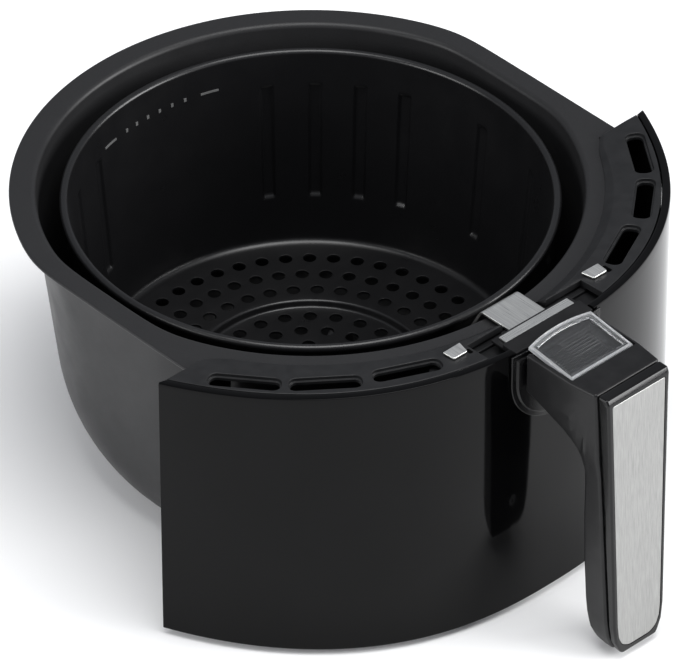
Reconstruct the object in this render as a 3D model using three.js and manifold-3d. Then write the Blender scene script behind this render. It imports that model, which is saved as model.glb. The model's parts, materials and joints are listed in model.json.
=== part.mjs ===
// Air-fryer drawer: outer pan with a glossy front panel, lift-out basket and its latching handle.
// Millimetres, +Z up. Origin: centre of the flat underside of the pan, on the axis of the basket.
// -Y is the front, where the panel and the handle are; X is the side-to-side direction.
import * as THREE from 'three';
import { mergeVertices } from 'three/addons/utils/BufferGeometryUtils.js';
import Module from 'manifold-3d';

const wasm = await Module();
wasm.setup();

// ---- driving dimensions -------------------------------------------------------------------
const FLANGE_TOP = 127.5;       // top face of the pan's flange above the resting plane
const SHEET = 1.6;              // pan sheet thickness
const PAN_R = 114.25;           // outer wall radius projected up to the flange top
const PAN_SLOPE = 0.1125;       // inward lean of the pan wall per millimetre of depth
const PAN_FLAT = 110.6;         // half distance between the flattened sides at the flange top
const BELLY_R = 80.93;          // large lower curve of the pan wall
const HEEL_R = 14;              // small radius between the belly and the flat underside
const FLANGE_R = 123.6;         // flange edge behind and under the trim
const FLANGE_W = 119.2;         // half width of the flange across its straight sides
const CUT_Y = -57.7;            // where the panel and the trim end, seen from above
const PANEL_A = 159.1;          // panel outline: half width of its rounded-square curve
const PANEL_B = 233.7;          // panel outline: half depth of the same curve
const PANEL_Y = 89.25;          // panel outline: centre of the curve
const PANEL_N = 2.387;          // panel outline: exponent of the curve
const PANEL_T = 3.5;            // panel thickness
const PANEL_FOOT = 2.75;        // lower edge of the panel above the resting plane
const TOP_Z = 129.3;            // top of panel and trim at their ends
const TOP_RISE = 0.053;         // rise of that top per millimetre towards the front
const TRIM_T = 3;               // trim thickness
const TRIM_R = 120.5;           // inner edge of the trim, lying over the flange
const GAP = 0.3;                // gap left between neighbouring pieces
const RIM_Z = 123;              // top of the basket's rolled rim
const RIM_R = 101.2;            // centre of the roll
const ROLL = 1.8;               // radius of the roll
const FLOOR_Z = 28.5;           // upper face of the basket's outer floor
const STEP = 3;                 // drop of the inner floor
const STEP_R = 50.5;            // radius of that step
const BASKET_T = 1.1;           // basket sheet thickness
const BASKET_TOP_R = 99.3;      // basket inner wall radius just under the roll
const BASKET_FOOT_R = 92;       // basket inner wall radius at the floor
const HOLE_R = 2.65;            // radius of the floor holes
const HOLE_ROWS = [[80, 49], [68.7, 43], [58, 36], [43.4, 25], [33.7, 19], [24, 13], [14.3, 7]];
const HOLE_PHASE = [47.9, 50.6, 44.9, 47.9, 54.6, 50, 45];
const RIB_ANGLES = [0.5, 23.6, 35, 46.3, 58.3, 111.3, 124.5, 145, 156.5, 201, 225, 236, 304, 315, 339];
const ARM_W = 19.3;             // half width of the handle's arm
const ARM_Y = -147;             // rear face of the arm, just in front of the apron
const ARM_TOP = 133.8;          // top of the arm
const FRAME_Y = -191.45;        // front of the grip at its top
const FRAME_LEAN = 2.02;        // degrees the grip's front leans outwards going down
const PIN_Y = -168.6;           // hinge line of the clear cover
const PIN_Z = 131.2;
const PIVOT_Y = -135;           // pivot of the latch lever
const PIVOT_Z = 120;

const rad = (degrees) => degrees * Math.PI / 180;
const root = new THREE.Group();
root.name = 'air_fryer_drawer';

// ---- solid helpers ------------------------------------------------------------------------
// a closed geometry as a manifold solid: positions only, welded, no collapsed triangles
function solid(geometry) {
  const bare = new THREE.BufferGeometry();
  bare.setAttribute('position', geometry.getAttribute('position'));
  if (geometry.index) bare.setIndex(geometry.index);
  const welded = mergeVertices(bare, 1e-4);
  const position = welded.getAttribute('position');
  const index = welded.index.array;
  const kept = [];
  for (let i = 0; i < index.length; i += 3) {
    const [a, b, c] = [index[i], index[i + 1], index[i + 2]];
    if (a !== b && b !== c && a !== c) kept.push(a, b, c);
  }
  let volume = 0;
  const p = [0, 1, 2].map(() => new THREE.Vector3());
  for (let i = 0; i < kept.length; i += 3) {
    for (let k = 0; k < 3; k += 1) p[k].fromBufferAttribute(position, kept[i + k]);
    volume += p[0].dot(p[1].cross(p[2]));
  }
  if (volume < 0) {
    for (let i = 0; i < kept.length; i += 3) [kept[i + 1], kept[i + 2]] = [kept[i + 2], kept[i + 1]];
  }
  return new wasm.Manifold(new wasm.Mesh({
    numProp: 3,
    vertProperties: new Float32Array(position.array),
    triVerts: new Uint32Array(kept),
  }));
}

function toGeometry(manifold) {
  const mesh = manifold.getMesh();
  const geometry = new THREE.BufferGeometry();
  geometry.setAttribute('position', new THREE.BufferAttribute(new Float32Array(mesh.vertProperties), 3));
  geometry.setIndex(new THREE.BufferAttribute(new Uint32Array(mesh.triVerts), 1));
  geometry.computeVertexNormals();
  return geometry;
}

function place(name, manifold, colour, roughness, metalness, extra = {}) {
  const material = new THREE.MeshStandardMaterial({ color: colour, roughness, metalness, ...extra });
  const mesh = new THREE.Mesh(toGeometry(manifold), material);
  mesh.name = name;
  root.add(mesh);
}

// body of revolution about Z from a closed outline of [radius, height] pairs
function turned(outline, segments = 54) {
  const points = [...outline, outline[0]].map(([r, z]) => new THREE.Vector2(Math.max(r, 0), z));
  return solid(new THREE.LatheGeometry(points, segments).rotateX(Math.PI / 2));
}

function shapeOf(points, holes = []) {
  const shape = new THREE.Shape(points.map(([x, y]) => new THREE.Vector2(x, y)));
  shape.holes = holes.map((hole) => new THREE.Path(hole.map(([x, y]) => new THREE.Vector2(x, y))));
  return shape;
}

// plan outline raised from z0 to z1
function upright(points, z0, z1, holes = []) {
  const options = { depth: z1 - z0, bevelEnabled: false };
  return solid(new THREE.ExtrudeGeometry(shapeOf(points, holes), options).translate(0, 0, z0));
}

// side outline of [y, z] pairs stretched from x0 to x1
function sideways(points, x0, x1) {
  const geometry = new THREE.ExtrudeGeometry(shapeOf(points), { depth: x1 - x0, bevelEnabled: false });
  const basis = new THREE.Matrix4().makeBasis(
    new THREE.Vector3(0, 1, 0), new THREE.Vector3(0, 0, 1), new THREE.Vector3(1, 0, 0));
  return solid(geometry.applyMatrix4(basis).translate(x0, 0, 0));
}

// front outline of [x, z] pairs stretched from y0 back to the more frontal y1
function frontways(points, y0, y1) {
  const geometry = new THREE.ExtrudeGeometry(shapeOf(points), { depth: y0 - y1, bevelEnabled: false });
  const basis = new THREE.Matrix4().makeBasis(
    new THREE.Vector3(1, 0, 0), new THREE.Vector3(0, 0, 1), new THREE.Vector3(0, -1, 0));
  return solid(geometry.applyMatrix4(basis).translate(0, y0, 0));
}

// block between two opposite corners
function block([x0, y0, z0], [x1, y1, z1]) {
  const geometry = new THREE.BoxGeometry(x1 - x0, y1 - y0, z1 - z0);
  return solid(geometry.translate((x0 + x1) / 2, (y0 + y1) / 2, (z0 + z1) / 2));
}

// rod from one point to another
function rod(from, to, radius, sides = 20) {
  const a = new THREE.Vector3(...from);
  const b = new THREE.Vector3(...to);
  const geometry = new THREE.CylinderGeometry(radius, radius, a.distanceTo(b), sides);
  const turn = new THREE.Quaternion().setFromUnitVectors(
    new THREE.Vector3(0, 1, 0), b.clone().sub(a).normalize());
  const middle = a.clone().add(b).multiplyScalar(0.5);
  return solid(geometry.applyQuaternion(turn).translate(middle.x, middle.y, middle.z));
}

// points of a circular arc in the plane of an outline, angles in degrees
function arc(cx, cy, radius, from, to, steps) {
  const points = [];
  for (let i = 0; i <= steps; i += 1) {
    const angle = rad(from + (to - from) * i / steps);
    points.push([cx + radius * Math.cos(angle), cy + radius * Math.sin(angle)]);
  }
  return points;
}

const mirrored = (points) => points.map(([x, y]) => [-x, y]).reverse();

// front arc of the panel's rounded-square outline, moved inwards by inset, cut at y = end
function panelArc(inset, end, steps) {
  const a = PANEL_A - inset;
  const b = PANEL_B - inset;
  const edge = Math.pow(1 - Math.pow(Math.abs((end - PANEL_Y) / b), PANEL_N), 1 / PANEL_N);
  const last = Math.atan2(Math.pow(edge, PANEL_N / 2), Math.pow(1 - Math.pow(edge, PANEL_N), 0.5));
  const points = [];
  for (let i = 0; i <= steps; i += 1) {
    const t = last * (2 * i / steps - 1);
    const s = Math.sin(t);
    const c = Math.cos(t);
    const x = a * Math.sign(s) * Math.pow(Math.abs(s), 2 / PANEL_N);
    points.push([x, PANEL_Y - b * Math.pow(c, 2 / PANEL_N)]);
  }
  return points;
}

// everything above the tilted top of the panel and the trim, lowered by drop
function aboveTop(drop) {
  const geometry = new THREE.BoxGeometry(400, 400, 60).translate(0, 0, 30);
  geometry.rotateX(-Math.atan(TOP_RISE)).translate(0, -60, TOP_Z - drop);
  return solid(geometry);
}

// ---- pan ----------------------------------------------------------------------------------
// half outline of the pan pushed inwards by t, from the axis under the floor up to height top
function panOutline(t, top) {
  const lean = Math.atan(PAN_SLOPE);
  const bellyZ = 58.43;
  const bellyX = PAN_R - PAN_SLOPE * (FLANGE_TOP - bellyZ) - BELLY_R / Math.cos(lean);
  const reach = BELLY_R - HEEL_R;
  const heelX = bellyX + Math.sqrt(reach * reach - (bellyZ - HEEL_R) ** 2);
  const meet = -Math.atan2(bellyZ - HEEL_R, heelX - bellyX) * 180 / Math.PI;
  const wallTop = PAN_R - t / Math.cos(lean) - PAN_SLOPE * (FLANGE_TOP - top);
  return [
    [0, t],
    ...arc(heelX, HEEL_R, HEEL_R - t, -90, meet, 4),
    ...arc(bellyX, bellyZ, BELLY_R - t, meet, -lean * 180 / Math.PI, 6).slice(1),
    [wallTop, top],
    [0, top],
  ];
}

// wedge that flattens the two sides of the pan, half width w at the flange top
function sideFlats(w, top) {
  const low = w - PAN_SLOPE * (FLANGE_TOP + 1);
  const high = w - PAN_SLOPE * (FLANGE_TOP - top);
  return frontways([[-low, -1], [low, -1], [high, top], [-high, top]], 130, -130);
}

function flangeOutline() {
  const points = [[FLANGE_W, CUT_Y + GAP]];
  for (let i = 0; i <= 180; i += 4) {
    const c = Math.abs(Math.cos(rad(i)));
    const r = Math.pow(Math.pow(FLANGE_R, -80) + Math.pow(c / FLANGE_W, 80), -1 / 80);
    points.push([r * Math.cos(rad(i)), r * Math.sin(rad(i))]);
  }
  points.push([-FLANGE_W, CUT_Y + GAP]);
  const corner = Math.asin(-(CUT_Y + GAP) / FLANGE_R) * 180 / Math.PI;
  points.push(...arc(0, 0, FLANGE_R, 180 + corner, 360 - corner, 36));
  return points;
}

// six low vanes on the pan floor that turn the air and carry the basket
function airStar() {
  let star = turned([[0, 1], [17, 1], [13, 21], [8, 24.2], [0, 24.2]], 18);
  for (let i = 0; i < 6; i += 1) {
    const vane = new THREE.BoxGeometry(52, 7, 22.2).translate(30, 0, 12.1);
    vane.rotateZ(rad(60 * i + 30));
    star = star.add(solid(vane).intersect(turned([[0, 1], [57, 1], [46, 23], [40, 24.2], [0, 24.2]], 24)));
  }
  return star;
}

function pan() {
  const outer = turned(panOutline(0, FLANGE_TOP - 0.01)).intersect(sideFlats(PAN_FLAT, FLANGE_TOP));
  const inner = turned(panOutline(SHEET, FLANGE_TOP + 1)).intersect(sideFlats(PAN_FLAT - SHEET, FLANGE_TOP + 2));
  const flange = upright(flangeOutline(), FLANGE_TOP - 1.8, FLANGE_TOP);
  return outer.add(flange).subtract(inner).add(airStar());
}

// ---- front panel and trim -----------------------------------------------------------------
// the opening the handle's neck drops into, wider near the top edge
function neckOpening() {
  return block([-17.4, -160, 106], [17.4, -120, 150]).add(block([-21.9, -160, 127.6], [21.9, -120, 150]));
}

function frontPanel() {
  const outline = [...panelArc(0, CUT_Y, 44), ...panelArc(PANEL_T, CUT_Y, 44).reverse()];
  return upright(outline, PANEL_FOOT, 140).subtract(aboveTop(0)).subtract(neckOpening());
}

function panelLiner() {
  const end = CUT_Y - 1.2;
  const outline = [...panelArc(PANEL_T + GAP, end, 32), ...panelArc(PANEL_T + GAP + 2, end, 32).reverse()];
  const wall = (side) => block([side * 113.6 - 15.1, end - 1.6, 50], [side * 113.6 + 15.1, end, 125]);
  return upright(outline, PANEL_FOOT + 2, 125).add(wall(1)).add(wall(-1))
    .subtract(neckOpening()).subtract(panelScrewHoles());
}

function slotOutline(radius, from, to) {
  return [...arc(0, 0, radius + 4, from, to, 6), ...arc(0, 0, radius - 4, to, from, 6)];
}

function trim() {
  const end = [[109.4, CUT_Y], [107.4, CUT_Y - 0.9], [104.4, CUT_Y - 3.8]];
  const outline = [
    ...panelArc(PANEL_T + GAP, CUT_Y, 44),
    ...end,
    ...arc(0, 0, TRIM_R, 326.5, 213.5, 36),
    ...mirrored(end),
  ];
  const slots = [];
  for (const [radius, from, to] of [[136.7, 29.4, 41.3], [137, 43.7, 54.9], [135, 57.7, 69]]) {
    slots.push(slotOutline(radius, -from, -to), slotOutline(radius, to - 180, from - 180));
  }
  const area = upright(outline, 120, 140, slots);
  const lip = turned([[116, 127.8], [126, 127.8], [126, 135], [116, 135]]);
  const over = aboveTop(TRIM_T).add(lip);
  const flangeSpace = turned([
    [110, 120], [FLANGE_R + GAP, 120], [FLANGE_R + GAP, FLANGE_TOP + GAP], [110, FLANGE_TOP + GAP],
  ]);
  const chamfer = turned([[111.8, 121], [135.8, 140.2], [135.8, 145], [111.8, 145]]);
  const notch = block([-31.5, -150, 118], [31.5, -126, 150]).add(block([-12, -150, 118], [12, -118, 150]));
  const web = block([-35, -128.4, 125.4], [35, -124.8, 128.4])
    .add(block([-35, -128.4, 126], [-31.8, -125, 131])).add(block([31.8, -128.4, 126], [35, -125, 131]));
  const ledges = block([-34, -142, 125.4], [-17.8, -126, 127]).add(block([17.8, -142, 125.4], [34, -126, 127]));
  return area.intersect(over).subtract(aboveTop(0)).subtract(flangeSpace).subtract(chamfer).subtract(notch)
    .add(web).add(ledges.intersect(area));
}

function clipTab(side) {
  const outline = [[33.6, -123.9], [42.8, -124.1], [42.4, -130], [35, -130]];
  const points = side > 0 ? outline.reverse() : mirrored(outline).reverse();
  return upright(points, 133.3, 134.2);
}

// steel lip inside the panel that the latch hooks under
function keeper() {
  const lip = block([-15, -137.8, 103], [15, -135.4, 104.2]);
  const left = block([-15, -137.8, 90], [-8, -136.6, 103.5]);
  const right = block([8, -137.8, 90], [15, -136.6, 103.5]);
  return lip.add(left).add(right);
}

// clearance holes for the two screws that join bracket and liner
function panelScrewHoles() {
  const hole = (side) => rod([39.85 * side, -128, 53], [42.25 * side, -137.6, 53], 1.6, 14);
  return hole(1).add(hole(-1));
}

// hat-section bracket that carries the panel on the front of the pan
function frontBracket() {
  const half = [
    [40.8, -109.3], [51.66, -129.54], [29.66, -135.04], [30, -136.4], [52.2, -130.85], [53.1, -129.7],
    [41.6, -107.8],
  ];
  return upright([...half, ...mirrored(half)], 40, 66).subtract(panelScrewHoles());
}

function screw(from, toward, head, shank) {
  const a = new THREE.Vector3(...from);
  const d = new THREE.Vector3(...toward).normalize();
  const at = (k) => a.clone().addScaledVector(d, k).toArray();
  const body = rod(at(0), at(head[1]), head[0], 18).add(rod(at(head[1] - 0.5), at(shank[1]), shank[0], 10));
  return body.subtract(rod(at(-1), at(head[1] * 0.5), head[0] * 0.4, 6));
}

// ---- basket -------------------------------------------------------------------------------
function wallRadius(z) {
  return BASKET_FOOT_R + (z - FLOOR_Z) * (BASKET_TOP_R - BASKET_FOOT_R) / (RIM_Z - 3.4 - FLOOR_Z);
}

function basket() {
  const t = BASKET_T;
  const neck = RIM_Z - 3.4;
  const outline = [
    [0, FLOOR_Z - STEP - t],
    [STEP_R - 0.8, FLOOR_Z - STEP - t],
    [STEP_R + 0.6, FLOOR_Z - t],
    [BASKET_FOOT_R - 3, FLOOR_Z - t],
    [BASKET_FOOT_R + 0.1, FLOOR_Z],
    [wallRadius(FLOOR_Z + 3) + t, FLOOR_Z + 3],
    [wallRadius(neck) + t, neck],
    ...arc(RIM_R, RIM_Z - ROLL, ROLL, -60, 180, 8),
    [wallRadius(neck), neck],
    [wallRadius(FLOOR_Z + 3.2), FLOOR_Z + 3.2],
    [BASKET_FOOT_R - 0.8, FLOOR_Z + 0.9],
    [BASKET_FOOT_R - 3.2, FLOOR_Z],
    [STEP_R, FLOOR_Z],
    [STEP_R - 1.4, FLOOR_Z - STEP],
    [0, FLOOR_Z - STEP],
  ];
  let body = turned(outline);
  // embossed ribs pressed outwards: a proud bar outside, its groove inside
  const lean = Math.atan((BASKET_TOP_R - BASKET_FOOT_R) / (RIM_Z - 3.4 - FLOOR_Z));
  const middle = wallRadius(79);
  const proud = [];
  const grooves = [];
  for (const angle of RIB_ANGLES) {
    const bar = new THREE.BoxGeometry(2.4, 5.2, 57).rotateY(lean).translate(middle + 0.9, 0, 79);
    const cut = new THREE.BoxGeometry(2.4, 3.6, 55).rotateY(lean).translate(middle - 0.2, 0, 79);
    proud.push(solid(bar.rotateZ(rad(angle))));
    grooves.push(solid(cut.rotateZ(rad(angle))));
  }
  body = body.add(wasm.Manifold.union(proud)).subtract(wasm.Manifold.union(grooves));
  const drills = [];
  HOLE_ROWS.forEach(([radius, count], row) => {
    for (let i = 0; i < count; i += 1) {
      const angle = rad(HOLE_PHASE[row] + 360 * i / count);
      const drill = new THREE.CylinderGeometry(HOLE_R, HOLE_R, 12, 6).rotateX(Math.PI / 2);
      drills.push(solid(drill.translate(radius * Math.cos(angle), radius * Math.sin(angle), FLOOR_Z - 2)));
    }
  });
  return body.subtract(wasm.Manifold.union(drills)).subtract(rivetHoles());
}

// holes for the two rivets, through the strap and the basket wall
function rivetHoles() {
  return rod([-5.5, -110, 104], [-5.5, -90, 104], 1.45, 10).add(rod([5.5, -110, 104], [5.5, -90, 104], 1.45, 10));
}

// bent steel strap from the basket wall over the flange into the handle
function strap() {
  const outline = [
    [-99.6, 98], [-100.9, 98], [-102, 110.6], [-106.2, 118], [-112, 129.1], [-140, 129.1],
    [-140, 130.3], [-111.3, 130.3], [-104.9, 118.6], [-100.7, 111.2],
  ];
  return sideways(outline, -10, 10).subtract(rivetHoles());
}

function rivet(side) {
  const x = 5.5 * side;
  const outer = rod([x, -101.8, 104], [x, -103, 104], 2.4, 14);
  const inner = rod([x, -97.5, 104], [x, -96.6, 104], 2.6, 14);
  return outer.add(inner).add(rod([x, -102.5, 104], [x, -97, 104], 1.1, 10));
}

// ---- handle -------------------------------------------------------------------------------
// moulding that drops into the opening of trim and panel and carries the strap
function neck() {
  const roof = block([-21.3, -143.6, 130.8], [21.3, -135.6, 133.3])
    .add(block([-21.3, -136, 130.8], [21.3, -129, 131.8]));
  const left = block([-16.8, -144.1, 107], [-14.3, -129, 131]);
  const right = block([14.3, -144.1, 107], [16.8, -129, 131]);
  const back = block([-15, -130.6, 112], [15, -129, 128.7]);
  const pivotHole = rod([-17.5, PIVOT_Y, PIVOT_Z], [17.5, PIVOT_Y, PIVOT_Z], 1.4, 16);
  return roof.add(left).add(right).add(back).subtract(pivotHole);
}

// rounded apron of the handle against the face of the panel
function apron() {
  const outline = [[-24.4, 133], ...arc(0, 119, 24.4, 180, 360, 20), [24.4, 133]];
  const curve = [...panelArc(-2.2, CUT_Y, 60), ...panelArc(-0.4, CUT_Y, 60).reverse()];
  return frontways(outline, -130, -155).intersect(upright(curve, 80, 140))
    .subtract(block([-12, -160, 112.5], [12, -130, 128.5]));
}

// plan limit of the arm: full width near the panel, slightly narrower at the grip
function armPlan() {
  return upright([[-ARM_W, ARM_Y], [-ARM_W, -172], [-17.4, -186], [-17, -197],
    [17, -197], [17.4, -186], [ARM_W, -172], [ARM_W, ARM_Y]], 0, 140);
}

function handleBody() {
  const side = [
    [ARM_Y, ARM_TOP], [ARM_Y, 115.2], [-154, 113], [-159.5, 110.8], [-166, 108], [-172, 104.4],
    [-176.2, 99.4], [-178.2, 93], [-178.4, 84], [-178, 70], [-178.2, 46], [-179, 26],
    [-180.4, 13], [-182.4, 7], [-185.6, 3.6], [-189.6, 2.7], [-192.1, 4.2], [-184.9, ARM_TOP + 0.2],
  ];
  const front = [
    [0, 2.6], [7, 3.2], [11.4, 6.2], [13.8, 11.5], [14.8, 20], [15.9, 60], [16.6, 92], [17.6, 101],
    [ARM_W, 110], [ARM_W, 136],
  ];
  const outline = [...front, ...mirrored(front).slice(0, -1)];
  const blank = sideways(side, -20, 20).intersect(frontways(outline, -140, -200)).intersect(armPlan());
  const well = block([-16.2, -171.6, 113.6], [16.2, -140, 140]);
  const rebate = block([-17.6, -171.6, 130.8], [17.6, -140, 140])
    .add(block([-17.6, -171.6, 128.3], [17.6, -164.9, 131]));
  const hollow = frontways([[-11, 14], [11, 14], [12.4, 96], [-12.4, 96]], -181.4, -200);
  const hinge = rod([-18.4, PIN_Y, PIN_Z], [18.4, PIN_Y, PIN_Z], 1.2, 16);
  const floor = sideways([[-140, 100], [-160, 100], [-160, 114.2], [-140, 117.8]], -17, 17);
  return blank.subtract(well.subtract(floor)).subtract(rebate).subtract(hollow).subtract(hinge)
    .subtract(rod([0, -170, 26], [0, -178.6, 26], 3.6, 18)).subtract(rod([0, -170, 86], [0, -178.9, 86], 3.6, 18))
    .subtract(rod([0, -170, 26], [0, -190, 26], 1.6, 12)).subtract(rod([0, -170, 86], [0, -190, 86], 1.6, 12));
}

// a front outline thickened by depth behind the leaning front face of the grip
function leaning(points, depth, sink) {
  const geometry = new THREE.ExtrudeGeometry(shapeOf(points), { depth, bevelEnabled: false });
  const basis = new THREE.Matrix4().makeBasis(
    new THREE.Vector3(1, 0, 0), new THREE.Vector3(0, 0, 1), new THREE.Vector3(0, -1, 0));
  geometry.applyMatrix4(basis).translate(0, depth + sink, -130);
  geometry.rotateX(-rad(FRAME_LEAN)).translate(0, FRAME_Y, 130);
  return solid(geometry);
}

function inlayOutline(shrink) {
  const half = [
    [0, 5 + shrink], [6, 5.6 + shrink], [9.6, 7.8 + shrink], [11.6 - shrink, 12],
    [12.2 - shrink, 18], [14.8 - shrink, 130.4 - shrink],
  ];
  return [...half, ...mirrored(half).slice(0, -1)];
}

function gripFrame() {
  const side = [
    [-185.3, ARM_TOP], [-192.5, 3.6], [-194.2, 2.4], [-195.9, 3.6], [-191.4, 131.4], [-190.2, ARM_TOP],
  ];
  const front = [
    [0, 2.3], [7, 3], [10.6, 5.6], [12.8, 10], [13.8, 18], [15.2, 70], [16.6, 122], [17.2, 136],
  ];
  const outline = [...front, ...mirrored(front).slice(0, -1)];
  const blank = sideways(side, -20, 20).intersect(frontways(outline, -180, -200));
  const screws = rod([0, -180, 26], [0, -193.5, 26], 1.6, 12).add(rod([0, -180, 86], [0, -191.5, 86], 1.6, 12));
  return blank.subtract(leaning(inlayOutline(0), 3.35, -2)).subtract(screws);
}

function inlay() {
  return leaning(inlayOutline(0.25), 1, 0.05);
}

// clear flap over the release button, raised at its arched rear edge
function cover() {
  const rear = [];
  for (let i = 0; i <= 12; i += 1) {
    const u = 2 * i / 12 - 1;
    rear.push([-17.1 * u, -146.2 + 2.4 * (1 - u * u)]);
  }
  const outline = [[-17.1, -170.6], [17.1, -170.6], ...rear];
  const slope = Math.atan(3 / 24.6);
  const flat = (z0, z1, points) => {
    const geometry = new THREE.ExtrudeGeometry(shapeOf(points), { depth: z1 - z0, bevelEnabled: false });
    geometry.translate(0, 170.6, z0).rotateX(slope).translate(0, -170.6, 133.3);
    return solid(geometry);
  };
  const dish = [[-14.6, -165.8], [14.6, -165.8], [14.6, -147.4], [-14.6, -147.4]];
  const plate = flat(-2.1, 0, outline).subtract(flat(-3, -1.1, dish));
  const barrel = rod([-15.8, PIN_Y, PIN_Z], [15.8, PIN_Y, PIN_Z], 1.9, 20);
  return plate.add(barrel).subtract(rod([-18, PIN_Y, PIN_Z], [18, PIN_Y, PIN_Z], 1.1, 16));
}

function button() {
  const cap = block([-13.2, -164.4, 125.6], [13.2, -149.4, 129.6]);
  const recess = block([-11.4, -164, 125], [11.4, -151, 127.6]);
  return cap.subtract(recess).add(block([-2.6, -157.2, 123.4], [2.6, -154.2, 128]));
}

function buttonSpring() {
  const turns = 4.5;
  const points = [];
  for (let i = 0; i <= 54; i += 1) {
    const t = i / 54;
    const angle = 2 * Math.PI * turns * t;
    points.push(new THREE.Vector3(2.3 * Math.cos(angle), -161.2 + 2.3 * Math.sin(angle), 0));
    points[i].z = 114.4 + (126.8 - 114.4) * t;
  }
  const path = new THREE.CatmullRomCurve3(points);
  const geometry = new THREE.ExtrudeGeometry(shapeOf(arc(0, 0, 0.4, 0, 300, 5)), {
    steps: 48, bevelEnabled: false, extrudePath: path,
  });
  return solid(geometry);
}

function latch() {
  const lever = sideways([
    [-132.6, 122], [-132.6, 99.4], [-137.4, 99.4], [-137.4, 102.5], [-134.9, 102.5], [-134.9, 117.8],
    [-158, 120], [-158, 123], [-138, 123],
  ], -4, 4);
  const boss = rod([-4, PIVOT_Y, PIVOT_Z], [4, PIVOT_Y, PIVOT_Z], 3.4, 20);
  return lever.add(boss).subtract(rod([-5, PIVOT_Y, PIVOT_Z], [5, PIVOT_Y, PIVOT_Z], 1.35, 16));
}

// ---- assembly -----------------------------------------------------------------------------
place('pan', pan(), 0x2b2c2e, 0.45, 0.3);
place('front_panel', frontPanel(), 0x0c0c0d, 0.12, 0);
place('panel_liner', panelLiner(), 0x18181a, 0.7, 0);
place('trim', trim(), 0x1a1b1c, 0.5, 0);
place('clip_left', clipTab(-1), 0xb9b9b6, 0.35, 1);
place('clip_right', clipTab(1), 0xb9b9b6, 0.35, 1);
place('keeper', keeper(), 0xa8a9aa, 0.35, 1);
place('front_bracket', frontBracket(), 0x9a9b9c, 0.4, 1);
place('basket', basket(), 0x232425, 0.5, 0.2);
place('strap', strap(), 0xc2c2bf, 0.35, 1);
place('rivet_left', rivet(-1), 0xb5b6b8, 0.35, 1);
place('rivet_right', rivet(1), 0xb5b6b8, 0.35, 1);
place('neck', neck(), 0x161617, 0.5, 0);
place('strip', block([-18.8, -135.3, 132.1], [18.8, -130.9, 133]), 0xc6c6c3, 0.3, 1);
place('apron', apron(), 0x1c1c1d, 0.35, 0);
place('handle_body', handleBody(), 0x202021, 0.4, 0);
place('grip_frame', gripFrame(), 0x101011, 0.15, 0);
place('inlay', inlay(), 0xcfcfcd, 0.32, 1);
place('cover', cover(), 0xdfe6e8, 0.08, 0, { transparent: true, opacity: 0.4 });
place('cover_pin', rod([-18.2, PIN_Y, PIN_Z], [18.2, PIN_Y, PIN_Z], 0.8, 14), 0xb5b6b8, 0.3, 1);
place('button', button(), 0x1b1b1c, 0.4, 0);
place('button_spring', buttonSpring(), 0xb0b1b3, 0.3, 1);
place('latch', latch(), 0x4a4b4d, 0.5, 0);
place('latch_pin', rod([-16.5, PIVOT_Y, PIVOT_Z], [16.5, PIVOT_Y, PIVOT_Z], 1.05, 14), 0xb5b6b8, 0.3, 1);
place('screw_grip_low', screw([0, -176.8, 26], [0, -1, 0], [2.9, 1.6], [1.2, 15]), 0x8d8e90, 0.35, 1);
place('screw_grip_high', screw([0, -177, 86], [0, -1, 0], [2.9, 1.6], [1.2, 13]), 0x8d8e90, 0.35, 1);
place('screw_strap_left', screw([-6, -134, 126.9], [0, 0, 1], [2.6, 1.5], [1.1, 1.9]), 0x8d8e90, 0.35, 1);
place('screw_strap_right', screw([6, -134, 126.9], [0, 0, 1], [2.6, 1.5], [1.1, 1.9]), 0x8d8e90, 0.35, 1);
place('screw_panel_left', screw([-40.4, -130.2, 53], [-0.243, -0.97, 0], [3, 1.8], [1.2, 6.1]), 0x8d8e90, 0.35, 1);
place('screw_panel_right', screw([40.4, -130.2, 53], [0.243, -0.97, 0], [3, 1.8], [1.2, 6.1]), 0x8d8e90, 0.35, 1);

export default root;
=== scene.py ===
import json
from math import asin, atan, atan2, cos, degrees, pi, radians, sin, sqrt, tan

import bmesh
import bpy
from mathutils import Matrix, Vector
from mathutils.geometry import tessellate_polygon

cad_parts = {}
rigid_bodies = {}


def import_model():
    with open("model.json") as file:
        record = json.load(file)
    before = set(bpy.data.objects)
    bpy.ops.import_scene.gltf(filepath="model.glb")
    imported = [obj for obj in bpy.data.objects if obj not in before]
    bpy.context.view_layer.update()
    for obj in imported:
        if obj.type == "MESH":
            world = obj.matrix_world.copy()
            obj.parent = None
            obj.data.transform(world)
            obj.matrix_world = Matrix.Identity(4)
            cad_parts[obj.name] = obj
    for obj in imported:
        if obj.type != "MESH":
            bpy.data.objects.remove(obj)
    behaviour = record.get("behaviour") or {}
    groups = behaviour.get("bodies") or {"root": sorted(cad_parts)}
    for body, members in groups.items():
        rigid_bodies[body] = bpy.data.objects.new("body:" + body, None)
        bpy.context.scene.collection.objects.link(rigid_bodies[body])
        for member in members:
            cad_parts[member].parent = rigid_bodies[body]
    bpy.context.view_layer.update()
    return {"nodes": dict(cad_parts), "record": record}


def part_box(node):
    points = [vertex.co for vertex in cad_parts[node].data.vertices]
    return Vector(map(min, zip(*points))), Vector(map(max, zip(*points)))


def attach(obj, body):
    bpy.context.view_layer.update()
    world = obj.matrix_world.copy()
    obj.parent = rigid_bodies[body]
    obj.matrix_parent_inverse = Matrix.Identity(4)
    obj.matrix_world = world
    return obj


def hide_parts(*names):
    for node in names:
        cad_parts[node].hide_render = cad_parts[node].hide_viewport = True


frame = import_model()

# Lengths are in millimetres, in the frame of the CAD model, and become metres in make().
MM = 0.001                      # sizes below are in millimetres


def box_mm(node):
    """Lowest and highest corner of a CAD node."""
    low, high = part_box(node)
    return low / MM, high / MM


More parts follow.
